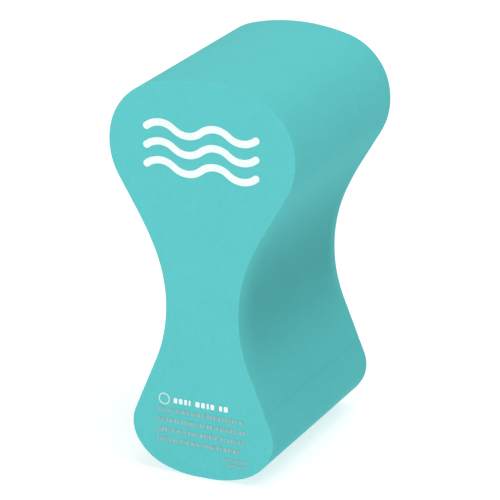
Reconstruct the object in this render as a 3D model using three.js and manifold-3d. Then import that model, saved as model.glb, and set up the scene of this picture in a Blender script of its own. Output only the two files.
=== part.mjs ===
// A pull buoy: a swimmer's foam float with a figure-of-eight profile, held between the thighs.
// Three foam slabs are bonded face to face and cut to one profile. Film marks are printed on the front.
// Millimetres. The buoy stands on its small lobe: +Z is up, the printed front faces -Y, and the origin is
// on the ground in the middle of the base.
import * as THREE from "three";
import { mergeVertices } from "three/addons/utils/BufferGeometryUtils.js";
import Module from "manifold-3d";

// ---------------------------------------------------------------- driving dimensions
const HEIGHT = 236;
const SLAB_COUNT = 3;
const SLAB_THICKNESS = 45;
const DEPTH = SLAB_COUNT * SLAB_THICKNESS;
const EDGE_ROUNDING = 0.8; // where the faces meet the cut profile

// The profile: arcs given by radius and by the angle they turn through, in degrees.
const CROWN = { radius: 114, turn: 15.5 };
const UPPER_SHOULDER = { radius: 36, turn: 63 };
const UPPER_CORNER = { radius: 41, turn: 42 };
const WAIST_LEAD = { radius: 165, turn: 7 };
const WAIST = { radius: 87.5, turn: 46 };
const LOWER_CORNER = { radius: 21, turn: 53 };
const LOWER_SHOULDER = { radius: 31.5, turn: 38 };
const BASE = { radius: 59, turn: 21.5 };
const FOOT_HALF_WIDTH = 4; // the flat that the buoy stands on

const PRINT_THICKNESS = 0.25;

// The mark on the upper lobe: three waves, one above the other.
const WAVE = { radius: 13, slope: 40, arcs: 4, width: 4.2, pitch: 11 };
const WAVE_MARK_Z = 196;

// The care panel on the lower lobe: a ring, a heading and rows of plain bars.
const RING = { x: -24, z: 45, radius: 3.6, stroke: 0.8 };
const HEADING = { left: -18, right: 16, z: 44.8, height: 4.4 };
const LINE_HEIGHT = 2.2;
const LINES = [
  { left: -28, right: 25, z: 38.3 },
  { left: -28.6, right: 27, z: 32.2 },
  { left: -28.6, right: 26, z: 26.1 },
  { left: -28.6, right: 23.4, z: 20 },
];
const NOTE_HEIGHT = 1.5;
const NOTES = [
  { left: 12.8, right: 29.2, z: 14.2 },
  { left: 15.2, right: 26.8, z: 11 },
];

// Points along each arc of the profile, and along the small arcs of the print.
const PROFILE_SEGMENTS = 6;
const PRINT_SEGMENTS = 5;

const DEGREE = Math.PI / 180;

// ---------------------------------------------------------------- materials
const foam = () => new THREE.MeshStandardMaterial({ color: 0x63cbcb, roughness: 0.9, metalness: 0 });
const whitePrint = () => new THREE.MeshStandardMaterial({ color: 0xf6f8f8, roughness: 0.6, metalness: 0 });
const greyPrint = () => new THREE.MeshStandardMaterial({ color: 0xaaacac, roughness: 0.6, metalness: 0 });

// ---------------------------------------------------------------- outlines made of arcs and straights
// A step is an arc { radius, turn } or a straight { length }. A positive turn bends to the left.
const right = ({ radius, turn }) => ({ radius, turn: -turn });
const left = ({ radius, turn }) => ({ radius, turn });

// The end of one step that starts at pen = { x, y, heading }. An arc also gets its centre.
function follow(pen, step) {
  if (step.length !== undefined) {
    return {
      x: pen.x + step.length * Math.cos(pen.heading),
      y: pen.y + step.length * Math.sin(pen.heading),
      heading: pen.heading,
    };
  }
  const side = Math.sign(step.turn);
  const heading = pen.heading + step.turn * DEGREE;
  const centre = {
    x: pen.x - side * step.radius * Math.sin(pen.heading),
    y: pen.y + side * step.radius * Math.cos(pen.heading),
  };
  return {
    x: centre.x + side * step.radius * Math.sin(heading),
    y: centre.y - side * step.radius * Math.cos(heading),
    heading,
    centre,
  };
}

// A closed shape that starts at pen and follows the steps.
function shapeOf(pen, steps) {
  const shape = new THREE.Shape();
  shape.moveTo(pen.x, pen.y);
  for (const step of steps) {
    const end = follow(pen, step);
    if (end.centre) {
      const from = Math.atan2(pen.y - end.centre.y, pen.x - end.centre.x);
      const to = Math.atan2(end.y - end.centre.y, end.x - end.centre.x);
      shape.absarc(end.centre.x, end.centre.y, step.radius, from, to, step.turn < 0);
    } else {
      shape.lineTo(end.x, end.y);
    }
    pen = end;
  }
  return shape;
}

// ---------------------------------------------------------------- the foam
// The right half of the profile, clockwise from the top of the crown to the middle of the foot. The two
// straight flanks are as long as it takes to end on the centre line, exactly HEIGHT below the crown.
function halfProfile() {
  const upper = [right(CROWN), right(UPPER_SHOULDER), right(UPPER_CORNER)];
  const middle = [left(WAIST_LEAD), left(WAIST)];
  const lower = [right(LOWER_CORNER), right(LOWER_SHOULDER), right(BASE), { length: FOOT_HALF_WIDTH }];
  const start = { x: 0, y: HEIGHT, heading: 0 };
  const afterUpper = upper.reduce(follow, start);
  const afterMiddle = middle.reduce(follow, afterUpper);
  const end = lower.reduce(follow, afterMiddle);
  const [upperFlank, lowerFlank] = closingLengths(end, afterUpper.heading, afterMiddle.heading);
  return [...upper, { length: upperFlank }, ...middle, { length: lowerFlank }, ...lower];
}

// The lengths along two headings that bring a point to the origin.
function closingLengths(point, first, second) {
  const across = Math.sin(second - first);
  return [
    (point.y * Math.cos(second) - point.x * Math.sin(second)) / across,
    (point.x * Math.sin(first) - point.y * Math.cos(first)) / across,
  ];
}

// The whole block with its edges rounded, lying along Y, as a solid that can be cut.
function blockSolid(wasm) {
  const half = halfProfile();
  const profile = shapeOf({ x: 0, y: HEIGHT, heading: 0 }, [...half, ...half.toReversed()]);
  const block = new THREE.ExtrudeGeometry(profile, {
    depth: DEPTH - 2 * EDGE_ROUNDING,
    curveSegments: PROFILE_SEGMENTS,
    bevelThickness: EDGE_ROUNDING,
    bevelSize: EDGE_ROUNDING,
    bevelOffset: -EDGE_ROUNDING,
    bevelSegments: 2,
  });
  block.rotateX(Math.PI / 2);
  block.translate(0, DEPTH / 2 - EDGE_ROUNDING, 0);
  return solidOf(wasm, block);
}

// A closed geometry as a solid.
function solidOf(wasm, geometry) {
  const bare = geometry.clone();
  bare.deleteAttribute("normal");
  bare.deleteAttribute("uv");
  const merged = mergeVertices(bare);
  return new wasm.Manifold(
    new wasm.Mesh({
      numProp: 3,
      vertProperties: merged.attributes.position.array,
      triVerts: new Uint32Array(merged.index.array),
    }),
  );
}

// A solid as a geometry.
function geometryOf(solid) {
  const { vertProperties, triVerts } = solid.getMesh();
  const geometry = new THREE.BufferGeometry();
  geometry.setAttribute("position", new THREE.BufferAttribute(vertProperties, 3));
  geometry.setIndex(new THREE.BufferAttribute(triVerts, 1));
  geometry.computeVertexNormals();
  return geometry;
}

// One slab of the block, counted from the front, cut out by a box well wider and taller than the block.
function foamSlab(wasm, block, name, index) {
  const cutter = new THREE.BoxGeometry(2 * HEIGHT, SLAB_THICKNESS, 2 * HEIGHT);
  cutter.translate(0, (index + 0.5) * SLAB_THICKNESS - DEPTH / 2, HEIGHT / 2);
  return named(name, geometryOf(block.intersect(solidOf(wasm, cutter))), foam());
}

function foamBlock(wasm) {
  const block = blockSolid(wasm);
  const group = new THREE.Group();
  const names = ["foam_slab_front", "foam_slab_middle", "foam_slab_rear"];
  names.forEach((name, index) => group.add(foamSlab(wasm, block, name, index)));
  return group;
}

// ---------------------------------------------------------------- the print
function named(name, geometry, material) {
  const mesh = new THREE.Mesh(geometry, material);
  mesh.name = name;
  return mesh;
}

// A film of print in the shape's outline. Its back lies in the plane that it is printed on.
function film(name, shape, material) {
  const geometry = new THREE.ExtrudeGeometry(shape, {
    depth: PRINT_THICKNESS,
    curveSegments: PRINT_SEGMENTS,
    bevelEnabled: false,
  });
  return named(name, geometry, material);
}

// A wave of equal arcs that bend down and up in turn, centred on the origin, with round ends.
function waveShape() {
  const { radius, slope, arcs, width } = WAVE;
  const span = 2 * radius * Math.sin(slope * DEGREE);
  const edge = (bend) => ({ radius: radius - (bend * width) / 2, turn: 2 * slope * bend });
  const end = { radius: width / 2, turn: -180 };
  const bends = Array.from({ length: arcs }, (_, i) => (i % 2 ? 1 : -1));
  const top = bends.map(edge);
  const underside = bends.toReversed().map((bend) => edge(-bend));
  const pen = {
    x: (-arcs * span - width * Math.sin(slope * DEGREE)) / 2,
    y: (width * Math.cos(slope * DEGREE)) / 2,
    heading: slope * DEGREE,
  };
  return shapeOf(pen, [...top, end, ...underside, end]);
}

// A bar with round ends, from left to right.
function barShape(leftX, rightX, height) {
  const round = { radius: height / 2, turn: -180 };
  const straight = { length: rightX - leftX - height };
  const pen = { x: leftX + height / 2, y: height / 2, heading: 0 };
  return shapeOf(pen, [straight, round, straight, round]);
}

// A ring around the origin. Each of its circles is two half turns, and the inner one runs the other way.
function ringShape({ radius, stroke }) {
  const inner = radius - stroke;
  const ring = shapeOf({ x: 0, y: radius, heading: 0 }, Array(2).fill({ radius, turn: -180 }));
  const hole = shapeOf({ x: 0, y: inner, heading: Math.PI }, Array(2).fill({ radius: inner, turn: 180 }));
  ring.holes.push(hole);
  return ring;
}

function waveMark() {
  const group = new THREE.Group();
  ["lower", "middle", "upper"].forEach((place, i) => {
    const wave = film(`print_wave_${place}`, waveShape(), whitePrint());
    wave.position.y = WAVE_MARK_Z + (i - 1) * WAVE.pitch;
    group.add(wave);
  });
  return group;
}

function bar(name, { left: leftX, right: rightX, z }, height, material) {
  const mesh = film(name, barShape(leftX, rightX, height), material);
  mesh.position.y = z;
  return mesh;
}

function carePanel() {
  const group = new THREE.Group();
  const ring = film("print_care_ring", ringShape(RING), greyPrint());
  ring.position.set(RING.x, RING.z, 0);
  group.add(ring, bar("print_care_heading", HEADING, HEADING.height, whitePrint()));
  LINES.forEach((row, i) => group.add(bar(`print_care_line_${i + 1}`, row, LINE_HEIGHT, greyPrint())));
  NOTES.forEach((row, i) => group.add(bar(`print_care_note_${i + 1}`, row, NOTE_HEIGHT, greyPrint())));
  return group;
}

// Everything on the front face, drawn upright in XY and turned to stand on that face.
function frontPrint() {
  const group = new THREE.Group();
  group.add(waveMark(), carePanel());
  group.rotation.x = Math.PI / 2;
  group.position.y = -DEPTH / 2;
  return group;
}

// ---------------------------------------------------------------- the buoy
const wasm = await Module();
wasm.setup();

const buoy = new THREE.Group();
buoy.name = "pull_buoy";
buoy.add(foamBlock(wasm), frontPrint());

export default buoy;
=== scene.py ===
import math

import bpy
import numpy as np
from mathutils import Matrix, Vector, noise
from mathutils.geometry import delaunay_2d_cdt


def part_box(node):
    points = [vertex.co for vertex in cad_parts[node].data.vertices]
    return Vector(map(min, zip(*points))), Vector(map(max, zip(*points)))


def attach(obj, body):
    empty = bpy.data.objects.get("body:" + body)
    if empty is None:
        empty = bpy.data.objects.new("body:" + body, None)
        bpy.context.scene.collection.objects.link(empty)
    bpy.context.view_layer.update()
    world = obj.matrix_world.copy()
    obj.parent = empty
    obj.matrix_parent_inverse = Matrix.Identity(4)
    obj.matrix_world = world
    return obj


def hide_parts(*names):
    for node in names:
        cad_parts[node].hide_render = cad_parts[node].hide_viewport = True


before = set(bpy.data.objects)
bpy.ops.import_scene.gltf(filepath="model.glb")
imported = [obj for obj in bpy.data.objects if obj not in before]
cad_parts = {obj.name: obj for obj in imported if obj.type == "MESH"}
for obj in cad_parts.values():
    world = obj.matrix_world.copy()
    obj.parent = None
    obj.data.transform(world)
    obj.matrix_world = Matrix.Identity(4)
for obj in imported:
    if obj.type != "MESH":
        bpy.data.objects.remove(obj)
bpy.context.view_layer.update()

MM = 0.001
RANDOM = np.random.default_rng(7)

# ---------------------------------------------------------------- sizes
SLABS = ["foam_slab_front", "foam_slab_middle", "foam_slab_rear"]
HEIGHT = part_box("foam_slab_middle")[1].z
HALF_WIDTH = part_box("foam_slab_middle")[1].x
FRONT_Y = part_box("foam_slab_front")[0].y
REAR_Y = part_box("foam_slab_rear")[1].y

# The profile's arcs, as in the CAD model: (radius, angle turned). A negative turn bends to the right.
UPPER_LOBE = [(114 * MM, -15.5), (36 * MM, -63), (41 * MM, -42)]
WAIST = [(165 * MM, 7), (87.5 * MM, 46)]
LOWER_LOBE = [(21 * MM, -53), (31.5 * MM, -38), (59 * MM, -21.5)]
FOOT_HALF_WIDTH = 4 * MM
PROFILE_TOLERANCE = 0.1 * MM  # how well the profile has to match the CAD slabs

# As shares of the height: where the narrowest place of the waist is looked for, and the lower lobe's top.
WAIST_FROM, WAIST_TO = 0.3, 0.6
LOWER_LOBE_TOP = 0.3

POINT_SPACING = 1.0 * MM  # along the profile
RING_SPACING = 2.5 * MM  # through the depth
FACE_SPACING = 3.0 * MM  # across the flat faces
FACE_CLEARANCE = 0.6 * FACE_SPACING  # from the outline of a face to the nearest point inside it
EDGE_RADIUS = 0.45 * MM  # where the cut profile meets the front and rear faces
SEAM_RADIUS = 0.05 * MM  # the hairline where two slabs are bonded
EDGE_RINGS = 5  # round each edge
FACE_RINGS = [0.4 * MM, 0.9 * MM, 1.6 * MM, 2.6 * MM]  # inside the rounded edge

# Unevenness of the foam. Each wave has a height in and out of the surface, a size across and a seed.
FACE_WAVE, FACE_WAVE_SIZE, FACE_WAVE_SEED = 0.03 * MM, 26 * MM, 5.7
FLANK_WAVE, FLANK_WAVE_SIZE, FLANK_WAVE_SEED = 0.07 * MM, 24 * MM, 3.1
FLANK_WAVE_SQUEEZE = 0.35  # along the depth, where the cutter's waves are longer
CUT_LINES = 0.004 * MM  # height of the fine lines that the cutter left

# The shallow mark along the depth of the lower right flank, where the cutter paused.
CUT_MARK_HEIGHT = 44.3 * MM
CUT_MARK_DEPTH = 0.2 * MM
CUT_MARK_WIDTH = 2.4 * MM
CUT_MARK_WAVE, CUT_MARK_WAVE_SIZE, CUT_MARK_WAVE_SEED = 0.4, 11 * MM, 8.6  # how unevenly deep it is

# Painted shade in the hollow of the waist, where the foam's colour is darkened: how far it reaches from the
# narrowest height, and how wide its soft ends are behind the front face and before the rear one.
PAINTED_SHADE_ABOVE = 80 * MM
PAINTED_SHADE_BELOW = 48 * MM
PAINTED_SHADE_FRONT = 24 * MM
PAINTED_SHADE_REAR = 10 * MM


# ---------------------------------------------------------------- the profile
def walk(steps, start):
    """Follows arcs (radius, turn) and straights (length, None) from a point, heading +X.
    Returns the points, their outward directions, as complex numbers, and each step's first heading."""
    at, heading = start, 0.0
    points, outward, headings = [start], [1j], []
    for size, turn in steps:
        headings.append(heading)
        if turn is None:
            n = max(1, round(size / POINT_SPACING))
            run = at + np.exp(1j * heading) * size * np.arange(1, n + 1) / n
            turned = np.full(n, heading)
        else:
            angle, side = math.radians(turn), math.copysign(1, turn)
            n = max(1, round(size * abs(angle) / POINT_SPACING))
            turned = heading + angle * np.arange(1, n + 1) / n
            centre = at + side * 1j * size * np.exp(1j * heading)
            run = centre - side * 1j * size * np.exp(1j * turned)
            heading += angle
        points.extend(run)
        outward.extend(1j * np.exp(1j * turned))
        at = run[-1]
    return np.array(points), np.array(outward), headings


def half_profile():
    """The right half, from the top of the crown to the middle of the foot. The two straight flanks are as
    long as it takes to end on the centre line at the floor."""
    def steps(upper_flank, lower_flank):
        middle = [(upper_flank, None), *WAIST, (lower_flank, None)]
        return [*UPPER_LOBE, *middle, *LOWER_LOBE, (FOOT_HALF_WIDTH, None)]

    points, _, headings = walk(steps(0.0, 0.0), 1j * HEIGHT)
    flanks = headings[len(UPPER_LOBE)], headings[len(UPPER_LOBE) + 1 + len(WAIST)]
    across = [[math.cos(h) for h in flanks], [math.sin(h) for h in flanks]]
    lengths = np.linalg.solve(across, [-points[-1].real, -points[-1].imag])
    return walk(steps(*lengths), 1j * HEIGHT)[:2]


def whole_profile():
    """The closed profile and its outward directions, clockwise from the top, as complex x + iz."""
    points, outward = half_profile()
    left = slice(-2, 0, -1)
    return (
        np.concatenate([points, -points[left].conj()]),
        np.concatenate([outward, -outward[left].conj()]),
    )


PROFILE, OUTWARD = whole_profile()
assert abs(PROFILE.real.max() - HALF_WIDTH) < PROFILE_TOLERANCE, "the profile doesn't match the CAD model"

# The distance along the profile to each of its points, and a random number for each.
ALONG = np.concatenate([[0], np.cumsum(np.abs(np.diff(PROFILE)))])
CUT_LINE = RANDOM.standard_normal(len(PROFILE))

RIGHT = PROFILE.real > 0
NARROW = RIGHT & (PROFILE.imag > WAIST_FROM * HEIGHT) & (PROFILE.imag < WAIST_TO * HEIGHT)
WAIST_HEIGHT = PROFILE[NARROW][PROFILE[NARROW].real.argmin()].imag
RIGHT_LOWER = RIGHT & (PROFILE.imag < LOWER_LOBE_TOP * HEIGHT) & (OUTWARD.imag > 0)
CUT_MARK_ALONG = np.interp(-CUT_MARK_HEIGHT, -PROFILE.imag[RIGHT_LOWER], ALONG[RIGHT_LOWER])


# ---------------------------------------------------------------- the foam's shape
def wave(x, y, z, size, seed):
    """Soft noise from about -1 to 1 whose waves are about size across."""
    return noise.noise(Vector((x / size + seed, y / size - seed, z / size)))


def cut_mark(index, y):
    """How strong the cutter's mark is at a point of the profile, up to about 1."""
    across = (ALONG[index] - CUT_MARK_ALONG) / (0.5 * CUT_MARK_WIDTH)
    uneven = wave(0.0, y, 0.0, CUT_MARK_WAVE_SIZE, CUT_MARK_WAVE_SEED)
    return math.exp(-(across**2)) * (1 - 0.5 * CUT_MARK_WAVE + CUT_MARK_WAVE * uneven)


def flank_relief(index, y):
    """How far the cut flank stands out at a point of the profile: soft waves, fine lines left by the cutter
    along the depth, and its mark."""
    soft = FLANK_WAVE * wave(ALONG[index], FLANK_WAVE_SQUEEZE * y, 0.0, FLANK_WAVE_SIZE, FLANK_WAVE_SEED)
    return soft + CUT_LINES * CUT_LINE[index] - CUT_MARK_DEPTH * cut_mark(index, y)


def face_relief(x, z):
    """How far the printed face lies back at a place: soft waves."""
    return FACE_WAVE * wave(x, 0.0, z, FACE_WAVE_SIZE, FACE_WAVE_SEED)


def smooth(t):
    """A step from 0 to 1 with soft ends, as t goes from 0 to 1."""
    t = min(max(t, 0.0), 1.0)
    return t * t * (3 - 2 * t)


def in_painted_waist_shade(z, y):
    """How far into the painted shade of the waist's hollow a place on the flank is, from 0 to 1."""
    reach = PAINTED_SHADE_ABOVE if z > WAIST_HEIGHT else PAINTED_SHADE_BELOW
    ends = smooth((y - FRONT_Y) / PAINTED_SHADE_FRONT) * smooth((REAR_Y - y) / PAINTED_SHADE_REAR)
    return ends * smooth(1 - abs(z - WAIST_HEIGHT) / reach)


def ring_stations(front, rear, front_radius, rear_radius):
    """The rings through one slab as (y, inset): in the front face, round its edge, along the straight flank,
    round the rear edge and in the rear face."""
    turns = [math.pi / 2 * i / EDGE_RINGS for i in range(EDGE_RINGS + 1)]
    first = [(front, front_radius + inset) for inset in reversed(FACE_RINGS)]
    first += [(front + front_radius * (1 - math.cos(t)), front_radius * (1 - math.sin(t))) for t in turns]
    turns.reverse()
    last = [(rear - rear_radius * (1 - math.cos(t)), rear_radius * (1 - math.sin(t))) for t in turns]
    last += [(rear, rear_radius + inset) for inset in FACE_RINGS]
    start = first[-1][0]
    straight = last[0][0] - start
    n = round(straight / RING_SPACING)
    return first + [(start + straight * i / n, 0.0) for i in range(1, n)] + last


def fill_points(outline):
    """An outline's points followed by grid points inside it, and the triangles that join them all."""
    x = np.arange(-HALF_WIDTH, HALF_WIDTH, FACE_SPACING)
    z = np.arange(0, HEIGHT, FACE_SPACING)
    grid = (x[None, :] + 1j * z[:, None]).ravel()
    half = outline[: len(outline) // 2 + 1]
    width = np.interp(-grid.imag, -half.imag, half.real)
    nearest = np.abs(grid[:, None] - outline[None, :]).min(1)
    inside = grid[(np.abs(grid.real) < width) & (nearest > FACE_CLEARANCE)]
    points = np.concatenate([outline, inside])
    n = len(outline)
    edges = [(i, (i + 1) % n) for i in range(n)]
    inside_only, merge_distance = 1, 1e-8
    corners = [Vector((p.real, p.imag)) for p in points]
    found = delaunay_2d_cdt(corners, edges, [], inside_only, merge_distance)
    source = [origin[0] for origin in found[3]]
    return points, [[source[i] for i in face] for face in found[2]]


def slab_mesh(name, front, rear, front_radius, rear_radius):
    """One slab as a closed mesh. The attribute rim is 1 at the outer edges and fades away from them. cut is 1
    on the flank and 0 on the flat faces. The painted shade of the waist's hollow is 1 in the middle of its
    flank, and the painted shade of the cutter's mark is about 1 in the middle of the mark."""
    stations = ring_stations(front, rear, front_radius, rear_radius)
    n = len(PROFILE)
    verts, rim, cut, painted_waist_shade, painted_mark_shade = [], [], [], [], []

    def place(p, y, on_flank):
        outer = front_radius == EDGE_RADIUS and y < FRONT_Y + EDGE_RADIUS
        back = face_relief(p.real, p.imag) if outer and not on_flank else 0.0
        verts.append((p.real, y + back, max(p.imag, 0.0)))
        cut.append(float(on_flank))
        # the painted shade of the waist's hollow, only on the flank
        painted_waist_shade.append(on_flank * in_painted_waist_shade(p.imag, y))

    for y, inset in stations:
        from_face = min(y - FRONT_Y, REAR_Y - y)
        on_flank = inset < 0.5 * EDGE_RADIUS
        for i in range(n):
            place(PROFILE[i] + OUTWARD[i] * (flank_relief(i, y) - inset), y, on_flank)
            rim.append(math.exp(min(0.0, 1 - max(from_face, inset) / EDGE_RADIUS)))
            # how strong the cutter's mark is here, for its painted shade
            painted_mark_shade.append(on_flank * cut_mark(i, y))
    faces = []
    for k in range(len(stations) - 1):
        for i in range(n):
            a, b = k * n + i, k * n + (i + 1) % n
            faces.append((a, b, b + n, a + n))
    for k, flip in ((0, False), (len(stations) - 1, True)):
        y, inset = stations[k]
        points, triangles = fill_points(PROFILE - OUTWARD * inset)
        number = list(range(k * n, k * n + n)) + list(range(len(verts), len(verts) + len(points) - n))
        for p in points[n:]:
            place(p, y, False)
            rim.append(0.0)
            painted_mark_shade.append(0.0)
        for t in triangles:
            corners = [number[i] for i in t]
            faces.append(corners[::-1] if flip else corners)
    mesh = bpy.data.meshes.new(name)
    mesh.from_pydata(verts, [], faces)
    mesh.validate()
    for attribute, values in (("rim", rim), ("cut", cut), ("painted_waist_shade", painted_waist_shade), ("painted_mark_shade", painted_mark_shade)):
        mesh.attributes.new(attribute, "FLOAT", "POINT").data.foreach_set("value", values)
    return mesh


def add(name, mesh, material):
    piece = bpy.data.objects.new(name, mesh)
    bpy.context.collection.objects.link(piece)
    mesh.materials.append(material)
    mesh.shade_smooth()
    return piece


def foam_slabs(material):
    for node in SLABS:
        low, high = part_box(node)
        front_radius = EDGE_RADIUS if node == SLABS[0] else SEAM_RADIUS
        rear_radius = EDGE_RADIUS if node == SLABS[-1] else SEAM_RADIUS
        name = node.replace("foam_slab", "eva_foam")
        piece = add(name, slab_mesh(name, low.y, high.y, front_radius, rear_radius), material)
        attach(piece, "root")
        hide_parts(node)


# ---------------------------------------------------------------- materials
class Nodes:
    """A material's node tree, built a node at a time. A socket may be given a number, a colour or an output
    of another node."""

    def __init__(self, name):
        self.material = bpy.data.materials.new(name)
        self.material.use_nodes = True
        self.tree = self.material.node_tree
        self.shader = self.tree.nodes["Principled BSDF"]
        self.place = self.add("ShaderNodeTexCoord").outputs["Object"]

    def add(self, kind, settings=None, **sockets):
        made = self.tree.nodes.new(kind)
        for key, value in (settings or {}).items():
            setattr(made, key, value)
        for key, value in sockets.items():
            self.put(made, key.replace("_", " "), value)
        return made

    def put(self, made, socket, value):
        target = made.inputs[socket]
        if isinstance(value, bpy.types.NodeSocket):
            self.tree.links.new(value, target)
        elif target.type == "RGBA":
            target.default_value = (*value, 1)
        else:
            target.default_value = value

    def noise(self, size, detail, stretch=(1, 1, 1)):
        """Noise from 0 to 1 whose largest features are about size across, drawn out along stretched axes."""
        place = self.place
        if stretch != (1, 1, 1):
            place = self.add("ShaderNodeMapping", Vector=place, Scale=[1 / s for s in stretch]).outputs[0]
        return self.add("ShaderNodeTexNoise", Vector=place, Scale=1 / size, Detail=detail).outputs["Fac"]

    def cells(self, size):
        """Distance to the middle of the nearest cell, for cells about size across."""
        return self.add("ShaderNodeTexVoronoi", Vector=self.place, Scale=1 / size).outputs["Distance"]

    def product(self, a, b):
        made = self.add("ShaderNodeMath", {"operation": "MULTIPLY"})
        self.put(made, 0, a)
        self.put(made, 1, b)
        return made.outputs[0]

    def span(self, value, low, high, start=0.0, end=1.0):
        """A value that goes from start to end moved to the range low to high."""
        limits = {"From_Min": start, "From_Max": end, "To_Min": low, "To_Max": high}
        return self.add("ShaderNodeMapRange", Value=value, **limits).outputs[0]

    def attribute(self, name):
        return self.add("ShaderNodeAttribute", {"attribute_name": name}).outputs["Fac"]

    def mix(self, share, a, b):
        made = self.add("ShaderNodeMix", {"data_type": "RGBA"})
        self.put(made, 0, share)
        self.put(made, 6, a)
        self.put(made, 7, b)
        return made.outputs[2]

    def scaled(self, colour, factor):
        """A colour made lighter or darker by a factor."""
        made = self.add("ShaderNodeVectorMath", {"operation": "SCALE"})
        self.put(made, 0, colour)
        self.put(made, "Scale", factor)
        return made.outputs[0]

    def bump(self, height, distance, normal=None):
        made = self.add("ShaderNodeBump", Height=height, Distance=distance)
        if normal is not None:
            self.put(made, "Normal", normal)
        return made.outputs[0]

    def shade(self, **sockets):
        for key, value in sockets.items():
            self.put(self.shader, key.replace("_", " "), value)
        return self.material


SOFT_DETAIL, FINE_DETAIL = 3.0, 4.0  # how much fine detail a material's noise has

FOAM_COLOUR = (0.112, 0.548, 0.550)
RUBBED_COLOUR = (0.30, 0.72, 0.72)
FOAM_CELL = 0.42 * MM  # across one cell of the foam

# What varies the foam's colour, with the factors that it goes between.
MOTTLE_SIZE, MOTTLE = 30 * MM, (0.975, 1.025)
BLOTCH_SIZE, BLOTCH = 3 * MM, (0.96, 1.04)
CELL_SHADE = (1.05, 0.92)  # in the middle of a cell and at its wall
# painted shade in the middle of the waist's hollow: the factor on the colour there
WAIST_PAINTED_SHADE = 0.80
# painted shade along the groove of the cutter's mark: the factor on the colour there
MARK_PAINTED_SHADE = 0.95
RUBBED_SIZE, MOST_RUBBED = 5 * MM, 0.06  # the largest share of the rubbed colour along the edges

# What roughens the foam, with its size across and its height.
TRACE_SIZE, TRACE_HEIGHT = 1.4 * MM, 0.02 * MM  # traces of the cutter
TRACE_LENGTH = 40  # as a multiple of their size
FINE_SIZE, FINE_HEIGHT = 0.9 * MM, 0.03 * MM
CELL_HEIGHT = 0.05 * MM
FOAM_ROUGHNESS_SIZE, FOAM_ROUGHNESS = 4 * MM, (0.82, 0.95)
FOAM_SPECULAR = 0.08


def foam_material():
    """Closed-cell foam: a matte, slightly mottled colour, cut-open cells as a fine grain, and drawn-out
    traces of the cutter on the flank. It is a little paler where its edges are rubbed. Its colour is darkened
    as painted shade in the hollow of the waist and along the groove of the cutter's mark."""
    n = Nodes("foam")
    mottle = n.span(n.noise(MOTTLE_SIZE, SOFT_DETAIL), *MOTTLE)
    blotch = n.span(n.noise(BLOTCH_SIZE, SOFT_DETAIL), *BLOTCH)
    cells = n.cells(FOAM_CELL)
    colour = n.scaled(FOAM_COLOUR, n.product(n.product(mottle, blotch), n.span(cells, *CELL_SHADE)))
    rubbed = n.product(n.attribute("rim"), n.span(n.noise(RUBBED_SIZE, FINE_DETAIL), 0.0, MOST_RUBBED))
    colour = n.mix(rubbed, colour, RUBBED_COLOUR)
    # painted shade: the colour is darkened in the hollow of the waist
    colour = n.scaled(colour, n.span(n.attribute("painted_waist_shade"), 1.0, WAIST_PAINTED_SHADE))
    # painted shade: the colour is darkened along the groove of the cutter's mark
    colour = n.scaled(colour, n.span(n.attribute("painted_mark_shade"), 1.0, MARK_PAINTED_SHADE))
    traces = n.noise(TRACE_SIZE, SOFT_DETAIL, stretch=(1, TRACE_LENGTH, 1))
    normal = n.bump(n.product(traces, n.attribute("cut")), TRACE_HEIGHT)
    normal = n.bump(n.noise(FINE_SIZE, FINE_DETAIL), FINE_HEIGHT, normal)
    normal = n.bump(cells, CELL_HEIGHT, normal)
    roughness = n.span(n.noise(FOAM_ROUGHNESS_SIZE, SOFT_DETAIL), *FOAM_ROUGHNESS)
    return n.shade(Base_Color=colour, Roughness=roughness, Normal=normal, Specular_IOR_Level=FOAM_SPECULAR)


WHITE_INK = (0.93, 0.94, 0.94)
GREY_INK = (0.42, 0.42, 0.42)
PATCH_SIZE, PATCH_RANGE = 1.1 * MM, (0.12, 0.35)  # the pattern's values for thick and for thin ink
INK_FINE_SIZE, INK_FINE_HEIGHT = 0.9 * MM, 0.01 * MM
INK_CELL_HEIGHT = 0.02 * MM
INK_ROUGHNESS_SIZE, INK_ROUGHNESS = 3 * MM, (0.5, 0.68)
INK_SPECULAR = 0.35


def print_material(name, colour, thick, thin):
    """Ink on foam: the foam's grain shows in it, and so does its colour, by the share thick where the ink is
    thickest and the share thin where it is thinnest."""
    n = Nodes(name)
    patchy = n.product(n.noise(PATCH_SIZE, FINE_DETAIL), n.cells(FOAM_CELL))
    ink = n.mix(n.span(patchy, thick, thin, *PATCH_RANGE), colour, FOAM_COLOUR)
    normal = n.bump(n.noise(INK_FINE_SIZE, SOFT_DETAIL), INK_FINE_HEIGHT)
    normal = n.bump(n.cells(FOAM_CELL), INK_CELL_HEIGHT, normal)
    roughness = n.span(n.noise(INK_ROUGHNESS_SIZE, SOFT_DETAIL), *INK_ROUGHNESS)
    return n.shade(Base_Color=ink, Roughness=roughness, Normal=normal, Specular_IOR_Level=INK_SPECULAR)


# ---------------------------------------------------------------- the print
# Each line of the small print is a row of plain blocks of one height, in groups. A width and a group's number
# of blocks are drawn between two limits.
HEADING_BLOCKS = {"width": (1.1 * MM, 2.9 * MM), "height": 3.2 * MM, "gap": 1.2 * MM, "group": (4, 6)}
LINE_BLOCKS = {"width": (0.5 * MM, 1.9 * MM), "height": 2.4 * MM, "gap": 0.5 * MM, "group": (2, 7)}
NOTE_BLOCKS = {"width": (0.4 * MM, 1.3 * MM), "height": 1.4 * MM, "gap": 0.45 * MM, "group": (2, 6)}
GROUP_GAP = 2.8  # as a multiple of the gap between blocks
BLOCK_CORNER = 0.25  # as a share of a block's shorter side
CORNER_STEPS = 3  # round each corner of a block
CARE_LINES, CARE_NOTES = 4, 2


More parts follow.
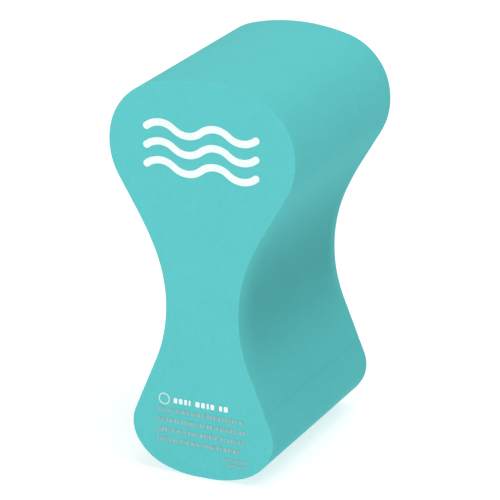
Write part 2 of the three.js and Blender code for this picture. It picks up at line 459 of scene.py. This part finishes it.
def block_outline(left, right, low, high):
    """A rectangle with rounded corners, counter-clockwise as it is read."""
    radius = BLOCK_CORNER * min(right - left, high - low)
    corners = ((right, low, -1, 1), (right, high, -1, -1), (left, high, 1, -1), (left, low, 1, 1))
    points = []
    for i, (x, z, inward_x, inward_z) in enumerate(corners):
        for step in range(CORNER_STEPS + 1):
            t = math.pi / 2 * (i - 1 + step / CORNER_STEPS)
            points.append((x + radius * (inward_x + math.cos(t)), z + radius * (inward_z + math.sin(t))))
    return points


def block_row(left, right, middle, blocks):
    """Outlines of blocks of different widths that fill a row from end to end, in groups."""
    spans, x = [], 0.0
    in_group = RANDOM.integers(*blocks["group"])
    while x < right - left:
        width = RANDOM.uniform(*blocks["width"])
        spans.append((x, x + width))
        in_group -= 1
        x += width + blocks["gap"] * (1 if in_group else GROUP_GAP)
        in_group = in_group or RANDOM.integers(*blocks["group"])
    scale = (right - left) / spans[-1][1]
    low, high = middle - blocks["height"] / 2, middle + blocks["height"] / 2
    return [block_outline(left + a * scale, left + b * scale, low, high) for a, b in spans]


def row_mesh(name, node, blocks):
    """A row of blocks in the place of a CAD bar, as wide and as thick as it is."""
    low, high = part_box(node)
    verts, faces = [], []
    for outline in block_row(low.x, high.x, (low.z + high.z) / 2, blocks):
        first, n = len(verts), len(outline)
        for y in (low.y, high.y):
            verts.extend((x, y, z) for x, z in outline)
        faces.append(tuple(range(first, first + n)))
        faces.append(tuple(range(first + 2 * n - 1, first + n - 1, -1)))
        for i in range(n):
            a, b = first + i, first + (i + 1) % n
            faces.append((b, a, a + n, b + n))
    mesh = bpy.data.meshes.new(name)
    mesh.from_pydata(verts, [], faces)
    mesh.validate()
    return mesh


def print_row(name, node, blocks, material):
    mesh = row_mesh(name, node, blocks)
    piece = add(name, mesh, material)
    mesh.shade_flat()
    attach(piece, "root")
    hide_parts(node)


def care_print(white, grey):
    print_row("care_heading_print", "print_care_heading", HEADING_BLOCKS, white)
    for i in range(1, CARE_LINES + 1):
        print_row(f"care_line_print_{i}", f"print_care_line_{i}", LINE_BLOCKS, grey)
    for i in range(1, CARE_NOTES + 1):
        print_row(f"care_note_print_{i}", f"print_care_note_{i}", NOTE_BLOCKS, grey)


def keep_cad_print(white, thin_white):
    for node, material in (
        ("print_wave_upper", white),
        ("print_wave_middle", white),
        ("print_wave_lower", white),
        ("print_care_ring", thin_white),
    ):
        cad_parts[node].data.materials[0] = material


# ---------------------------------------------------------------- the studio
CENTRE = Vector((0, (FRONT_Y + REAR_Y) / 2, HEIGHT / 2))

FLOOR_HALF = 8.0
FLOOR_COLOUR = (0.5, 0.5, 0.5)
FLOOR_ROUGHNESS, FLOOR_SPECULAR = 0.8, 0.1
GLOW_NEAR, GLOW_FAR = 0.8, 3.0  # distances from the buoy between which the floor's glow changes
GLOW = (0.65, 1.0)  # how strong it is there

WORLD_LIGHT = 0.3  # on the buoy and the floor
WORLD_SEEN = 1.1  # by the camera

# Round soft lights: azimuth, elevation, distance, diameter and power in watts.
SOFTBOXES = {
    "front_softbox": (-20, 12, 2.3, 1.6, 20.5),
    "top_softbox": (72, 73, 1.5, 1.4, 16.3),
    "rear_softbox": (-165, 20, 2.0, 1.6, 10),
}

CAMERA_AZIMUTH = 24.92
CAMERA_ELEVATION = 19.96
CAMERA_DISTANCE = 1.8505
CAMERA_LENS = 230.9  # in millimetres, as is the sensor
CAMERA_SENSOR = 36
CAMERA_AIM = (-1.46 * MM, -1.53 * MM)  # from the buoy's centre, to the camera's right and up


def direction(azimuth, elevation):
    """The way from the buoy towards a place. Azimuth 0 is in front of the printed face, 90 to its right."""
    a, e = math.radians(azimuth), math.radians(elevation)
    return Vector((math.sin(a) * math.cos(e), -math.cos(a) * math.cos(e), math.sin(e)))


def studio_floor():
    """A pale floor that glows a little, so that the buoy's shadow on it stays faint."""
    half = FLOOR_HALF
    mesh = bpy.data.meshes.new("studio_floor")
    corners = [(-half, -half, 0), (half, -half, 0), (half, half, 0), (-half, half, 0)]
    mesh.from_pydata(corners, [], [(0, 1, 2, 3)])
    n = Nodes("studio_floor")
    distance = n.add("ShaderNodeVectorMath", {"operation": "LENGTH"})
    n.put(distance, 0, n.place)
    glow = n.span(distance.outputs["Value"], *GLOW, GLOW_NEAR, GLOW_FAR)
    n.shade(Base_Color=FLOOR_COLOUR, Roughness=FLOOR_ROUGHNESS, Specular_IOR_Level=FLOOR_SPECULAR)
    floor = add("studio_floor", mesh, n.shade(Emission_Color=(1, 1, 1), Emission_Strength=glow))


def softbox(name, azimuth, elevation, distance, size, power):
    light = bpy.data.lights.new(name, "AREA")
    light.shape = "DISK"
    light.size = size
    light.energy = power
    lamp = bpy.data.objects.new(name, light)
    lamp.location = CENTRE + direction(azimuth, elevation) * distance
    lamp.rotation_mode = "QUATERNION"
    lamp.rotation_quaternion = direction(azimuth, elevation).to_track_quat("Z", "Y")
    lamp.visible_camera = False
    bpy.context.collection.objects.link(lamp)


def studio_world():
    """Weak even light from all round, seen by the camera as white."""
    world = bpy.data.worlds.new("studio")
    world.use_nodes = True
    tree = world.node_tree
    background = tree.nodes["Background"]
    background.inputs["Color"].default_value = (1, 1, 1, 1)
    strength = tree.nodes.new("ShaderNodeMapRange")
    strength.inputs["To Min"].default_value = WORLD_LIGHT
    strength.inputs["To Max"].default_value = WORLD_SEEN
    tree.links.new(tree.nodes.new("ShaderNodeLightPath").outputs["Is Camera Ray"], strength.inputs["Value"])
    tree.links.new(strength.outputs[0], background.inputs["Strength"])
    bpy.context.scene.world = world


def studio_light():
    for name, settings in SOFTBOXES.items():
        softbox(name, *settings)
    studio_world()


def studio_camera():
    camera = bpy.data.cameras.new("camera")
    camera.lens = CAMERA_LENS
    camera.sensor_width = CAMERA_SENSOR
    view = bpy.data.objects.new("camera", camera)
    back = direction(CAMERA_AZIMUTH, CAMERA_ELEVATION)
    view.rotation_mode = "QUATERNION"
    view.rotation_quaternion = back.to_track_quat("Z", "Y")
    right, up = (view.rotation_quaternion @ Vector(axis) for axis in ((1, 0, 0), (0, 1, 0)))
    view.location = CENTRE + right * CAMERA_AIM[0] + up * CAMERA_AIM[1] + back * CAMERA_DISTANCE
    bpy.context.collection.objects.link(view)
    bpy.context.scene.camera = view


# ---------------------------------------------------------------- the scene
# Each ink is given the least and the most of the foam's colour that shows through it.
white_print = print_material("print_white", WHITE_INK, 0.0, 0.25)
thin_white_print = print_material("print_thin_white", WHITE_INK, 0.35, 0.6)
grey_print = print_material("print_grey", GREY_INK, 0.3, 0.55)
foam_slabs(foam_material())
care_print(white_print, grey_print)
keep_cad_print(white_print, thin_white_print)
studio_floor()
studio_light()
studio_camera()
bpy.context.scene.view_settings.view_transform = "Standard"
